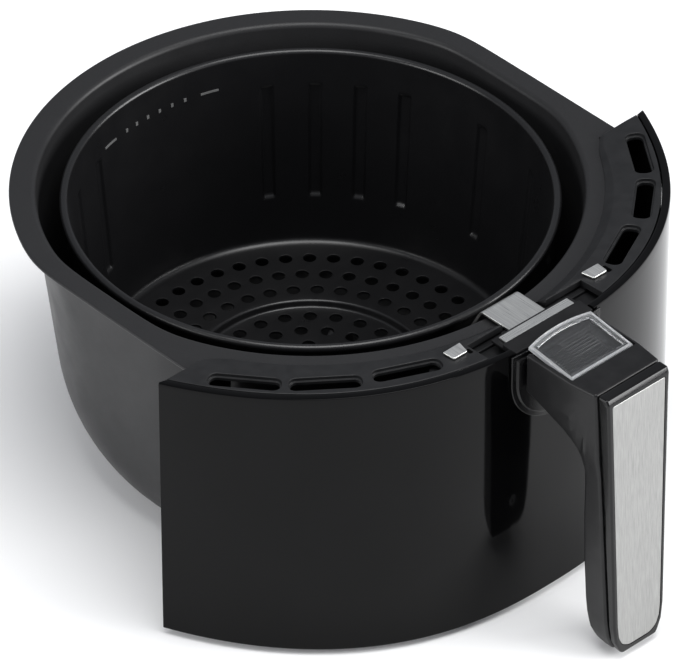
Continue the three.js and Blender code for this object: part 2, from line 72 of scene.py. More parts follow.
# ---- driving dimensions, taken from the CAD nodes where a box gives them -------------------
PAN_HIGH = box_mm("pan")[1]
PANEL_LOW, PANEL_HIGH = box_mm("front_panel")
FLANGE_TOP = PAN_HIGH.z
FLANGE_W = PAN_HIGH.x
FLANGE_R = PAN_HIGH.y
CUT_Y = PANEL_HIGH.y            # where the panel and the trim end, seen from above
PANEL_FOOT = PANEL_LOW.z
SHEET = 1.6                     # pan sheet thickness
FLANGE_T = 1.8
PAN_R = 114.25                  # outer wall radius projected up to the flange top
PAN_SLOPE = 0.1125              # inward lean of the pan wall per millimetre of depth
PAN_FLAT = 110.6                # half distance between the flattened sides at the flange top
BELLY_R, BELLY_Z = 80.93, 58.43
HEEL_R = 14
# half axes, centre and exponent of the panel's superellipse, seen from above
PANEL_A, PANEL_B, PANEL_Y, PANEL_N = 159.1, 233.7, 89.25, 2.387
PANEL_T = 3.5
TOP_Z, TOP_RISE = 129.3, 0.053  # top of panel and trim at their ends, and its rise to the front
TRIM_T, TRIM_R = 3, 120.5       # the trim's inner edge lies over the flange
GAP = 0.3                       # play between one piece and the next
RIM_Z, RIM_R, ROLL = 123, 101.2, 1.8
FLOOR_Z, STEP, STEP_R = 28.5, 3, 50.5
BASKET_T, BASKET_TOP_R, BASKET_FOOT_R = 1.1, 99.3, 92
HOLE_R = 2.85                   # rows of holes are (radius, count, angle of the first)
HOLE_ROWS = ((80, 49, 47.9), (68.7, 43, 50.6), (58, 36, 44.9))
INNER_HOLE_ROWS = ((43.4, 25, 47.9), (33.7, 19, 54.6), (24, 13, 50), (14.3, 7, 45))
RIB_ANGLES = (0.5, 23.6, 35, 46.3, 58.3, 111.3, 124.5, 145, 156.5, 201, 225, 236, 304, 315, 339)
ARM_W, ARM_TOP, ARM_Y = 19.3, 133.8, -147
FRAME_Y, FRAME_LEAN = -191.45, 2.02
PIN_Y, PIN_Z = -168.6, 131.2


# ---- outlines ------------------------------------------------------------------------------
def arc(cx, cy, radius, start, end, steps):
    """Points of a circular arc, angles in degrees."""
    turns = [radians(start + (end - start) * i / steps) for i in range(steps + 1)]
    return [(cx + radius * cos(t), cy + radius * sin(t)) for t in turns]


def circle(cx, cy, radius, steps=24):
    return arc(cx, cy, radius, 0, 360, steps)[:-1]


def rounded(corners, steps=5):
    """Closed outline through (a, b, radius) corners, each one rounded."""
    outline = []
    count = len(corners)
    for i, (a, b, radius) in enumerate(corners):
        here = Vector((a, b))
        before = Vector(corners[i - 1][:2]) - here
        after = Vector(corners[(i + 1) % count][:2]) - here
        if radius <= 0:
            outline.append((a, b))
            continue
        half = before.angle(after) / 2
        reach = min(radius / tan(half), 0.49 * before.length, 0.49 * after.length)
        radius = reach * tan(half)
        start = here + before.normalized() * reach
        end = here + after.normalized() * reach
        centre = here + (before.normalized() + after.normalized()).normalized() * radius / sin(half)
        first = start - centre
        sweep = first.angle_signed(end - centre)
        for k in range(steps + 1):
            turn = Matrix.Rotation(-sweep * k / steps, 2)
            outline.append(tuple(centre + turn @ first))
    return outline


def inset(outline, distance):
    """A closed outline moved inwards, or outwards if distance is negative."""
    count = len(outline)
    area = sum(
        outline[i - 1][0] * outline[i][1] - outline[i][0] * outline[i - 1][1] for i in range(count)
    )
    side = 1 if area > 0 else -1
    moved = []
    for i in range(count):
        here = Vector(outline[i])
        ahead = (Vector(outline[(i + 1) % count]) - here).normalized()
        behind = (here - Vector(outline[i - 1])).normalized()
        n1 = Vector((-behind.y, behind.x)) * side
        n2 = Vector((-ahead.y, ahead.x)) * side
        moved.append(tuple(here + (n1 + n2) * distance / max(0.4, 1 + n1.dot(n2))))
    return moved


def edge_rings(radius, steps=4):
    """(inset, drop) pairs that round an edge, from the face to the side."""
    turns = [pi / 2 * k / steps for k in range(steps + 1)]
    return [(radius * (1 - sin(t)), radius * (1 - cos(t))) for t in turns]


def panel_arc(inward, end, steps):
    """Front arc of the panel's rounded-square outline, moved inwards and cut at y = end."""
    a, b = PANEL_A - inward, PANEL_B - inward
    edge = (1 - abs((end - PANEL_Y) / b) ** PANEL_N) ** (1 / PANEL_N)
    last = atan2(edge ** (PANEL_N / 2), (1 - edge**PANEL_N) ** 0.5)
    points = []
    for i in range(steps + 1):
        t = last * (2 * i / steps - 1)
        s, c = sin(t), cos(t)
        x = a * (1 if s > 0 else -1) * abs(s) ** (2 / PANEL_N)
        points.append((x, PANEL_Y - b * c ** (2 / PANEL_N)))
    return points


def panel_y(x, inward):
    """y of the panel's outline, moved inwards, at x."""
    a, b = PANEL_A - inward, PANEL_B - inward
    return PANEL_Y - b * (1 - (abs(x) / a) ** PANEL_N) ** (1 / PANEL_N)


def top_z(y):
    """Height of the tilted top of the panel and the trim."""
    return TOP_Z - TOP_RISE * (y + 60)


# ---- meshes --------------------------------------------------------------------------------
def walls(rings):
    """Quads between closed rings, each with the same number of points."""
    count = len(rings[0])
    points = [p for ring in rings for p in ring]
    faces = []
    for k in range(len(rings) - 1):
        for i in range(count):
            j = (i + 1) % count
            faces.append((k * count + i, k * count + j, (k + 1) * count + j, (k + 1) * count + i))
    return points, faces


def joined(*bodies):
    """Several (points, faces) bodies as one."""
    points, faces = [], []
    for more, polygons in bodies:
        start = len(points)
        points += more
        faces += [tuple(start + i for i in polygon) for polygon in polygons]
    return points, faces


def fill(loops):
    """Flat cap bounded by the first loop, less the others."""
    points = [p for loop in loops for p in loop]
    triangles = tessellate_polygon([[Vector(p) for p in loop] for loop in loops])
    return points, [tuple(t) for t in triangles]


def capped(stacks):
    """Closed body: the first stack of rings is the outside, the others are holes through it."""
    return joined(
        *[walls(rings) for rings in stacks],
        fill([rings[0] for rings in stacks]),
        fill([rings[-1] for rings in stacks]),
    )


def plate(outline, section, lift, holes=(), hole_section=()):
    """Closed body of a flat outline. A section is a list of (inset, height) pairs."""
    def stack(loop, pairs):
        return [[lift(a, b, h) for a, b in inset(loop, d)] for d, h in pairs]
    return capped([stack(outline, section)] + [stack(hole, hole_section) for hole in holes])


def slab_section(low, high, edge, steps=3):
    """Section of a plate from high down to low, with all its edges rounded."""
    rings = edge_rings(edge, steps)
    return [(d, high - h) for d, h in rings] + [(d, low + h) for d, h in reversed(rings)]


def upright(x, y, h):
    return (x, y, h)


def sideways(y, z, h):
    return (h, y, z)


def block(low, high, edge=0.3, steps=2):
    """Box between two corners, with rounded edges."""
    (x0, y0, z0), (x1, y1, z1) = low, high
    corners = [(x0, y0, edge * 1.5), (x1, y0, edge * 1.5), (x1, y1, edge * 1.5), (x0, y1, edge * 1.5)]
    return plate(rounded(corners, 3), slab_section(z0, z1, edge, steps), upright)


def rod(start, end, radius, edge=0.2, steps=28):
    """Round bar with eased ends."""
    start, end = Vector(start), Vector(end)
    turn = Vector((0, 0, 1)).rotation_difference(end - start)
    length = (end - start).length
    lift = lambda a, b, h: tuple(start + turn @ Vector((a, b, h)))
    return plate(circle(0, 0, radius, steps), slab_section(0, length, edge, 2), lift)


def as_mesh(name, body):
    points, faces = body
    mesh = bpy.data.meshes.new(name)
    mesh.from_pydata([tuple(c * MM for c in p) for p in points], [], faces)
    clean(mesh)
    return mesh


def clean(mesh):
    """Welds the points and turns the faces outwards."""
    work = bmesh.new()
    work.from_mesh(mesh)
    bmesh.ops.remove_doubles(work, verts=work.verts[:], dist=2e-6)
    bmesh.ops.dissolve_degenerate(work, dist=1e-7, edges=work.edges[:])
    bmesh.ops.recalc_face_normals(work, faces=work.faces[:])
    work.to_mesh(mesh)
    work.free()


def cut(mesh, cutters):
    """The mesh less each cutter body."""
    target = bpy.data.objects.new("target", mesh)
    tools = bpy.data.collections.new("cutters")
    bpy.context.scene.collection.objects.link(target)
    bpy.context.scene.collection.children.link(tools)
    for body in cutters:
        tools.objects.link(bpy.data.objects.new("cutter", as_mesh("cutter", body)))
    modifier = target.modifiers.new("cut", "BOOLEAN")
    modifier.operand_type = "COLLECTION"
    modifier.collection = tools
    modifier.operation = "DIFFERENCE"
    modifier.solver = "EXACT"
    modifier.use_self = True
    bpy.context.view_layer.update()
    result = bpy.data.meshes.new_from_object(target.evaluated_get(bpy.context.evaluated_depsgraph_get()))
    for tool in list(tools.objects):
        bpy.data.objects.remove(tool)
    bpy.data.collections.remove(tools)
    bpy.data.objects.remove(target)
    clean(result)
    return result


def sliced(mesh, axis, places):
    """Cuts edges into the mesh at places along an axis, so that it can bend."""
    normal = Vector([1 if k == axis else 0 for k in range(3)])
    work = bmesh.new()
    work.from_mesh(mesh)
    for place in places:
        geometry = work.verts[:] + work.edges[:] + work.faces[:]
        bmesh.ops.bisect_plane(work, geom=geometry, plane_co=normal * place * MM, plane_no=normal)
    work.to_mesh(mesh)
    work.free()
    return mesh


def make(name, body, rides, slot, nodes, smooth=32, material=None):
    """A finished piece: body is a mesh or (points, faces)."""
    mesh = body if isinstance(body, bpy.types.Mesh) else as_mesh(name, body)
    mesh.name = name
    mesh.shade_smooth()
    mesh.set_sharp_from_angle(angle=radians(smooth))
    piece = bpy.data.objects.new(name, mesh)
    bpy.context.scene.collection.objects.link(piece)
    mesh.materials.clear()
    mesh.materials.append(material or MATERIALS[slot])
    normals = piece.modifiers.new("face weighted normals", "WEIGHTED_NORMAL")
    normals.keep_sharp = True
    if nodes:
        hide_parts(*nodes)
    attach(piece, rides)
    return piece


# ---- materials -----------------------------------------------------------------------------
class Nodes:
    """A material whose pattern lies in the frame's own coordinates, in metres."""

    def __init__(self, name, metallic=0.0, ior_level=0.5, coat=0.0, coat_roughness=0.1):
        self.material = bpy.data.materials.new(name)
        self.material.use_nodes = True
        self.tree = self.material.node_tree
        self.shader = self.tree.nodes["Principled BSDF"]
        self.shader.inputs["Metallic"].default_value = metallic
        self.shader.inputs["Specular IOR Level"].default_value = ior_level
        self.shader.inputs["Coat Weight"].default_value = coat
        self.shader.inputs["Coat Roughness"].default_value = coat_roughness
        self.place = self.tree.nodes.new("ShaderNodeTexCoord").outputs["Object"]

    def link(self, a, b):
        self.tree.links.new(a, b)

    def stretched(self, x, y, z):
        """The coordinates scaled per axis: a small factor draws the pattern out along that axis."""
        node = self.tree.nodes.new("ShaderNodeMapping")
        node.inputs["Scale"].default_value = (x, y, z)
        self.link(self.place, node.inputs["Vector"])
        return node.outputs["Vector"]

    def noise(self, size, detail=3.0, vector=None, roughness=0.6):
        """Noise with blobs of about this size, in millimetres."""
        node = self.tree.nodes.new("ShaderNodeTexNoise")
        node.inputs["Scale"].default_value = 1 / (size * MM)
        node.inputs["Detail"].default_value = detail
        node.inputs["Roughness"].default_value = roughness
        self.link(vector or self.place, node.inputs["Vector"])
        return node.outputs["Fac"]

    def spread(self, value, low, high, start=0.3, end=0.7):
        """value, from start to end, mapped to low to high."""
        node = self.tree.nodes.new("ShaderNodeMapRange")
        node.inputs["From Min"].default_value = start
        node.inputs["From Max"].default_value = end
        node.inputs["To Min"].default_value = low
        node.inputs["To Max"].default_value = high
        self.link(value, node.inputs["Value"])
        return node.outputs["Result"]

    def axis(self, name):
        """One coordinate, in metres."""
        node = self.tree.nodes.new("ShaderNodeSeparateXYZ")
        self.link(self.place, node.inputs["Vector"])
        return node.outputs[name]

    def maths(self, operation, a, b=0.0):
        node = self.tree.nodes.new("ShaderNodeMath")
        node.operation = operation
        for value, socket in ((a, node.inputs[0]), (b, node.inputs[1])):
            if isinstance(value, float):
                socket.default_value = value
            else:
                self.link(value, socket)
        return node.outputs["Value"]

    def colours(self, value, dark, light, start=0.3, end=0.7):
        node = self.tree.nodes.new("ShaderNodeValToRGB")
        node.color_ramp.elements[0].position = start
        node.color_ramp.elements[1].position = end
        node.color_ramp.elements[0].color = (*dark, 1)
        node.color_ramp.elements[1].color = (*light, 1)
        self.link(value, node.inputs["Fac"])
        self.link(node.outputs["Color"], self.shader.inputs["Base Color"])

    def rough(self, value, low, high, start=0.3, end=0.7):
        self.link(self.spread(value, low, high, start, end), self.shader.inputs["Roughness"])

    def bump(self, value, depth, strength=1.0, below=None):
        """Relief of this depth, in millimetres."""
        node = self.tree.nodes.new("ShaderNodeBump")
        node.inputs["Distance"].default_value = depth * MM
        node.inputs["Strength"].default_value = strength
        self.link(value, node.inputs["Height"])
        if below is not None:
            self.link(below, node.inputs["Normal"])
        self.link(node.outputs["Normal"], self.shader.inputs["Normal"])
        return node.outputs["Normal"]


def coated_metal(name, dark, light, low, high, ior_level, fleck=0.35):
    """Satin non-stick coating: fine orange peel, tiny flecks and faint handling marks."""
    n = Nodes(name, ior_level=ior_level)
    n.colours(n.noise(fleck, 2), dark, light, 0.35, 0.7)
    n.rough(n.noise(18, 4), low, high)
    peel = n.bump(n.noise(1.6, 2), 0.02, 0.5)
    n.bump(n.noise(fleck, 2), 0.012, 0.5, peel)
    return n.material


def moulded(name, dark, light, low, high, grain=0.5, relief=0.02, ior_level=0.5):
    """Moulded plastic with an eroded grain."""
    n = Nodes(name, ior_level=ior_level)
    n.colours(n.noise(6, 4), dark, light)
    n.rough(n.noise(9, 4), low, high)
    n.bump(n.noise(grain, 3), relief, 0.6)
    return n.material


def gloss(name, dark, light, low, high, ior_level=0.5):
    """Polished moulding: almost a mirror, with slight waviness and faint smears."""
    n = Nodes(name, ior_level=ior_level)
    n.colours(n.noise(30, 2), dark, light)
    n.rough(n.noise(22, 5), low, high)
    n.bump(n.noise(45, 1), 0.05, 0.25)
    return n.material


def brushed(name, dark, light, low, high, along, relief=0.006):
    """Brushed steel, with its scratches drawn out along one axis."""
    n = Nodes(name, metallic=1.0)
    stretch = [0.02 if k == along else 1 for k in range(3)]
    lines = n.noise(0.35, 4, n.stretched(*stretch), 0.7)
    n.colours(lines, dark, light)
    n.rough(lines, low, high)
    n.bump(lines, relief, 0.5)
    return n.material


def clear(name):
    """Clear polished plastic with a milky border and fine ruled lines in its window."""
    n = Nodes(name, ior_level=0.5)
    x, y = n.axis("X"), n.axis("Y")
    arch = n.maths("ADD", y, n.maths("MULTIPLY", n.maths("MULTIPLY", x, x), 8.2))
    side = n.spread(n.maths("ABSOLUTE", x), 0, 1, 15.5 * MM, 15.9 * MM)
    rear = n.spread(arch, 0, 1, -145.9 * MM, -145.4 * MM)
    front = n.spread(y, 1, 0, -169.4 * MM, -169.0 * MM)
    border = n.maths("MAXIMUM", n.maths("MAXIMUM", side, rear), front)
    ruled = n.spread(n.maths("SINE", n.maths("MULTIPLY", y, 2 * pi / (1.6 * MM))), 0, 1, 0.75, 0.95)
    across = n.spread(n.maths("ABSOLUTE", n.maths("SUBTRACT", x, 3.0 * MM)), 1, 0, 8.8 * MM, 9.0 * MM)
    along = n.spread(n.maths("ABSOLUTE", n.maths("ADD", y, 156.5 * MM)), 1, 0, 5.8 * MM, 6.0 * MM)
    lines = n.maths("MULTIPLY", n.maths("MULTIPLY", ruled, across), along)
    milky = n.maths("MAXIMUM", border, n.maths("MULTIPLY", lines, 0.25))
    n.link(n.spread(milky, 0.98, 0.72, 0, 1), n.shader.inputs["Transmission Weight"])
    n.shader.inputs["IOR"].default_value = 1.49
    n.colours(n.noise(8, 2), (0.62, 0.63, 0.64), (0.7, 0.71, 0.72))
    haze = n.spread(n.noise(5, 3), 0.0, 0.05)
    n.link(n.maths("ADD", haze, n.spread(milky, 0.03, 0.3, 0, 1)), n.shader.inputs["Roughness"])
    n.bump(n.noise(12, 2), 0.02, 0.3)
    return n.material


def plain_metal(name, tone, roughness):
    """Plated or drawn metal with a fine, even mottle."""
    n = Nodes(name, metallic=1.0)
    n.colours(n.noise(1.2, 4), tuple(0.82 * c for c in tone), tone)
    n.rough(n.noise(0.8, 3), roughness - 0.06, roughness + 0.08)
    n.bump(n.noise(0.6, 3), 0.006, 0.5)
    return n.material


# darker and lighter tone, lowest and highest roughness, then each kind's own settings
FINISHES = {
    "pan_coating": (coated_metal, (0.011, 0.011, 0.0115), (0.0175, 0.0175, 0.0185), 0.36, 0.46, 0.28),
    "panel_gloss": (gloss, (0.001, 0.001, 0.0011), (0.0015, 0.0015, 0.0017), 0.04, 0.08, 0.12),
    "liner_plastic": (moulded, (0.0012, 0.0012, 0.0012), (0.002, 0.002, 0.0021), 0.5, 0.62, 0.5, 0.02, 0.1),
    "trim_plastic": (moulded, (0.007, 0.0072, 0.0078), (0.012, 0.0122, 0.013), 0.4, 0.5, 0.35, 0.02, 0.24),
    "clip_steel": (brushed, (0.62, 0.62, 0.6), (0.85, 0.85, 0.83), 0.28, 0.42, 1),
    "bracket_steel": (plain_metal, (0.5, 0.5, 0.5), 0.4),
    "basket_coating": (coated_metal, (0.004, 0.004, 0.0044), (0.0075, 0.0075, 0.0082), 0.27, 0.36, 0.42),
    "strap_steel": (brushed, (0.6, 0.6, 0.58), (0.85, 0.85, 0.82), 0.26, 0.4, 1, 0.01),
    "rivet_metal": (plain_metal, (0.7, 0.7, 0.7), 0.3),
    "neck_plastic": (moulded, (0.004, 0.004, 0.0044), (0.007, 0.007, 0.0074), 0.42, 0.55, 0.5, 0.02, 0.22),
    "strip_steel": (brushed, (0.65, 0.65, 0.63), (0.88, 0.88, 0.85), 0.24, 0.36, 0),
    "apron_plastic": (moulded, (0.0025, 0.0025, 0.0028), (0.004, 0.004, 0.0043), 0.2, 0.3, 0.4, 0.008, 0.2),
    "handle_plastic": (moulded, (0.005, 0.005, 0.0054), (0.009, 0.009, 0.0095), 0.3, 0.4, 0.3, 0.012, 0.25),
    "frame_gloss": (gloss, (0.002, 0.002, 0.0022), (0.004, 0.004, 0.0042), 0.1, 0.16, 0.3),
    "inlay_steel": (brushed, (0.27, 0.27, 0.265), (0.4, 0.4, 0.39), 0.32, 0.44, 2),
    "cover_clear": (clear,),
    "pin_steel": (plain_metal, (0.6, 0.6, 0.6), 0.25),
    "button_plastic": (moulded, (0.005, 0.005, 0.0054), (0.009, 0.009, 0.0094), 0.35, 0.45, 0.5, 0.02, 0.3),
    "spring_steel": (plain_metal, (0.55, 0.55, 0.55), 0.3),
    "latch_plastic": (moulded, (0.02, 0.02, 0.021), (0.03, 0.03, 0.031), 0.45, 0.55),
    "screw_steel": (plain_metal, (0.5, 0.5, 0.5), 0.32),
}
MATERIALS = {name: kind(name, *settings) for name, (kind, *settings) in FINISHES.items()}


# ---- pan -----------------------------------------------------------------------------------
def pan_angles():
    """Steps round the pan, with the corners where the flange meets the trim."""
    corner = degrees(atan2(CUT_Y + GAP, FLANGE_W))
    notch = -degrees(asin(-(CUT_Y + GAP) / FLANGE_R))
    exact = [corner, notch, 180 - corner, 180 - notch]
    even = [-90 + 1.25 * i for i in range(288)]
    kept = [a for a in even if min(abs(a - b) for b in exact) > 0.4]
    return [radians(a) for a in sorted(kept + exact)]


def softened(round_r, flat_x, angle):
    """Radius of a round wall with two flattened sides."""
    side = flat_x / max(abs(cos(angle)), 1e-3)
    return (round_r**-80 + side**-80) ** (-1 / 80)


def wall_r(angle, r, z, t=0.0):
    """Radius of the pan wall pushed inwards by t, flattened at the sides above its floor."""
    flat = PAN_FLAT - t / cos(atan(PAN_SLOPE)) - PAN_SLOPE * (FLANGE_TOP - z)
    return softened(r, flat, angle) if r > 60 else r


def flange_r(angle):
    """Radius of the flange's edge: straight sides ahead, and a step in where the trim begins."""
    side = FLANGE_W / max(abs(cos(angle)), 1e-3)
    if sin(angle) >= 0:
        return softened(FLANGE_R, FLANGE_W, angle)
    front = (-CUT_Y - GAP) / max(-sin(angle), 1e-3)
    return min(side, max(FLANGE_R, front)) if abs(sin(angle)) < 0.6 else FLANGE_R


def pan_side(t):
    """(radius, height) down to up along the pan wall pushed inwards by t."""
    lean = atan(PAN_SLOPE)
    belly_x = PAN_R - PAN_SLOPE * (FLANGE_TOP - BELLY_Z) - BELLY_R / cos(lean)
    heel_x = belly_x + sqrt((BELLY_R - HEEL_R) ** 2 - (BELLY_Z - HEEL_R) ** 2)
    meet = -degrees(atan2(BELLY_Z - HEEL_R, heel_x - belly_x))
    heel = arc(heel_x, HEEL_R, HEEL_R - t, -90, meet, 8)
    belly = arc(belly_x, BELLY_Z, BELLY_R - t, meet, -degrees(lean), 14)
    return [(0, t), (30, t), (60, t), (heel_x - 3, t)] + heel + belly[1:]


def pan_body():
    """Deep pot with a flat flange, bent over a small radius."""
    angles = pan_angles()
    lean = cos(atan(PAN_SLOPE))

    def ring(radius_at, z):
        return [(radius_at(a) * cos(a), radius_at(a) * sin(a), z) for a in angles]

    def wall_ring(r, z, t, out=0.0):
        return ring(lambda a: wall_r(a, r, z, t) + out, z)

    def straight(z, t):
        return PAN_R - t / lean - PAN_SLOPE * (FLANGE_TOP - z)

    rings = [wall_ring(r, z, 0) for r, z in pan_side(0)]
    bend = 2.2
    under = FLANGE_TOP - FLANGE_T
    rings += [wall_ring(straight(z, 0), z, 0) for z in (75, 92, 108, under - bend - 4)]
    for k in range(5):
        turn = pi / 2 * k / 4
        z = under - bend + bend * sin(turn)
        rings.append(wall_ring(straight(z, 0), z, 0, bend * (1 - cos(turn))))
    half = FLANGE_T / 2
    for k in range(7):
        turn = pi * (k / 6 - 0.5)
        out = half * cos(turn) - half
        rings.append(ring(lambda a: flange_r(a) + out, FLANGE_TOP - half + half * sin(turn)))
    for k in range(6):
        turn = pi / 2 * k / 5
        z = FLANGE_TOP - bend * (1 - cos(turn))
        rings.append(wall_ring(straight(z, SHEET), z, SHEET, bend * (1 - sin(turn))))
    rings += [wall_ring(straight(z, SHEET), z, SHEET) for z in (118, 108, 92, 75)]
    rings += [wall_ring(r, z, SHEET) for r, z in reversed(pan_side(SHEET))]
    return walls(rings)


def air_star():
    """Six low vanes on the pan floor, round-edged, that turn the air and carry the basket."""
    vanes = []
    for i in range(6):
        turn = Matrix.Rotation(radians(60 * i + 30), 3, "Z")
        side = rounded([(4, 1.2, 0), (54, 1.2, 0), (45.5, 21, 3), (40, 24.2, 4), (4, 24.2, 0)])
        lift = lambda a, b, h: tuple(turn @ Vector((a, h, b)))
        vanes.append(plate(side, slab_section(-3.5, 3.5, 1.2), lift))
    hub = [(0, 1.2), (17, 1.2), (13, 20), (11.5, 23), (8, 24.2), (0, 24.2)]
    rings = [[(r * cos(a), r * sin(a), z) for a in [radians(7.5 * i) for i in range(48)]] for r, z in hub]
    return joined(*vanes, walls(rings))


make("pan", joined(pan_body(), air_star()), "drawer", "pan_coating", ["pan"])


# ---- front panel ---------------------------------------------------------------------------
def curved_sheet(inward, thick, foot, roof, end, edge, openings, steps=96):
    """Sheet along the panel's outline. openings are (half width, lowest z) at its top edge."""
    def column(y):
        """(inset, height) pairs up the sheet at this y."""
        height = roof(y)
        levels = [foot + edge, *[z for _, z in openings], 118, height - edge]
        rows = [(edge, foot), (0.3 * edge, foot + 0.3 * edge)]
        rows += [(0, z) for z in sorted(set(levels))]
        return rows + [(0.3 * edge, height - 0.3 * edge), (edge, height)]

    outer = panel_arc(inward, end, steps)
    breaks = sorted(s * w for w, _ in openings for s in (-1, 1))
    xs = [x for x, _ in outer if all(abs(x - b) > 0.8 for b in breaks)] + breaks
    ends = (outer[0][0], outer[-1][0])
    front, back = [], []
    for x in sorted(xs):
        y = end if x in ends else panel_y(x, inward)
        slope = (panel_y(x * 0.999 + 0.01, inward) - panel_y(x * 0.999 - 0.01, inward)) / 0.02
        normal = Vector((slope, -1)).normalized() * -1
        rows = column(y)
        front.append([(x + normal.x * d, y + normal.y * d, z) for d, z in rows])
        bx, by = x + normal.x * thick, y + normal.y * thick
        if x in ends:
            bx, by = x + (thick / abs(normal.x)) * (1 if x < 0 else -1), end
        back.append([(bx - normal.x * d, by - normal.y * d, z) for d, z in rows])
    return sheet_faces(sorted(xs), front, back, openings)


def sheet_faces(xs, front, back, openings):
    """Closed body between two grids of points, leaving the openings out."""
    rows = len(front[0])
    points = [p for column in front for p in column] + [p for column in back for p in column]
    shift = len(xs) * rows
    kept = set()
    for i in range(len(xs) - 1):
        middle = abs(xs[i] + xs[i + 1]) / 2
        for k in range(rows - 1):
            z = (front[i][k][2] + front[i][k + 1][2]) / 2
            if not any(middle < half and z > low for half, low in openings):
                kept.add((i, k))
    faces = []
    for i, k in kept:
        a, b, c, d = i * rows + k, (i + 1) * rows + k, (i + 1) * rows + k + 1, i * rows + k + 1
        faces += [(a, b, c, d), (a + shift, d + shift, c + shift, b + shift)]
        for step, edge in (((0, -1), (a, b)), ((0, 1), (c, d)), ((-1, 0), (d, a)), ((1, 0), (b, c))):
            if (i + step[0], k + step[1]) not in kept:
                p, q = edge
                faces.append((q, p, p + shift, q + shift))
    return points, faces


NECK_OPENING = ((17.4, 106), (21.9, 127.6))
LINER_TOP = 125
LINER_END = CUT_Y - 1.2
panel = curved_sheet(0, PANEL_T, PANEL_FOOT, top_z, CUT_Y, 0.7, NECK_OPENING)
make("front_panel", panel, "drawer", "panel_gloss", ["front_panel"])
liner = curved_sheet(
    PANEL_T + GAP, 2, PANEL_FOOT + 2, lambda y: LINER_TOP, LINER_END, 0.3, NECK_OPENING[:1]
)
end_walls = [
    block((x - 15.1, LINER_END - 1.6, 50), (x + 15.1, LINER_END, LINER_TOP), 0.3)
    for x in (-113.6, 113.6)
]
make("panel_liner", joined(liner, *end_walls), "drawer", "liner_plastic", ["panel_liner"])


# ---- trim ----------------------------------------------------------------------------------
SLOTS = {                       # radius and the angles of both ends, left and right
    -1: ((137, 30.3, 42.5), (137, 43.9, 55.9), (135.3, 57.9, 69.8)),
    1: ((136.7, 29.3, 41.3), (137, 43.3, 54.9), (135, 57.4, 69.3)),
}
CLIP_RECESS = {-1: (-34.4, -131.0, -32.6, -127.6), 1: (42.9, -130.2, 45.2, -125.4)}
SLOT_HALF = 3.8                 # half width of a vent slot
NOTCH_X, NOTCH_Y, NOTCH_MIDDLE = 31.5, -126.0, 12.0
END_TURN, END_SPAN, END_OUT = 213.5, 5.7, 3.2    # the chamfer swings outwards near the trim's ends
CHAMFER = 0.8                   # climb of the trim's inner chamfer per millimetre of radius
LIP_WIDTH = 5.5                 # how far the lip under the chamfer reaches outwards


def bent_slot(side, radius, start, end, grow):
    """Round-ended slot bent round the pan's axis, in plan."""
    middle = radians((start + end) / 2)
    half = radians(end - start) / 2 * radius + grow
    width = SLOT_HALF + grow
    corner = SLOT_HALF - 0.8 + grow
    ends = [(-half, -width), (half, -width), (half, width), (-half, width)]
    turned = []
    for s, r in rounded([(s, r, corner) for s, r in ends]):
        a = middle + s / radius
        turned.append((side * (radius + r) * cos(a), -(radius + r) * sin(a)))
    return turned


def trim_edge(turn):
    """Foot and brow of the trim's inner chamfer, as (radius, height), in one direction."""
    foot_z = FLANGE_TOP + GAP + 0.2
    past = max(0.0, radians(END_TURN) - turn) / radians(END_SPAN)
    out = END_OUT * past**1.6
    s = sin(turn)
    brow = (TOP_Z - 60 * TOP_RISE - foot_z + CHAMFER * TRIM_R) / (CHAMFER + TOP_RISE * s)
    brow = min(brow, (NOTCH_Y + 0.8) / s) if s < -0.99 else brow
    brow_z = min(foot_z + CHAMFER * (brow - TRIM_R), top_z((brow + out) * s))
    return (TRIM_R + out, foot_z), (brow + out, brow_z)


